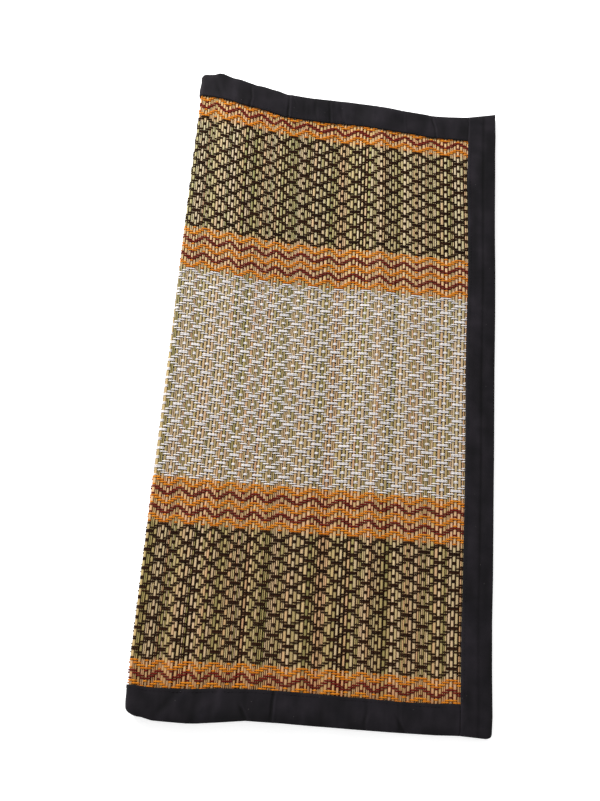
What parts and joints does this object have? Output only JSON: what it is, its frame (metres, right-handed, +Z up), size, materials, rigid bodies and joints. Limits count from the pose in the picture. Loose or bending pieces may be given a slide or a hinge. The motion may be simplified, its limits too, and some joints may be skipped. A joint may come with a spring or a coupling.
{
  "type": "folded woven reed meditation mat",
  "caption": "Square mat of split reeds woven with striped cotton thread, edged in black cotton tape, folded in half and lying flat with a soft raised fold.",
  "frame": {"origin": "middle of the underside of the folded mat", "axes": "+Z up, Y along the reeds and the fold, the fold at -X and the two open ends at +X"},
  "size_m": [0.305, 0.615, 0.0243],
  "materials": {
    "reed_weave": "dry split reed with cotton threads, semi-matte",
    "black_tape": "plain woven black cotton, matte"
  },
  "bodies": {
    "root": {"woven_panel": "reed_weave", "side_tape_far": "black_tape", "side_tape_near": "black_tape", "end_tape_lower": "black_tape", "end_tape_upper": "black_tape"}
  },
  "joints": []
}
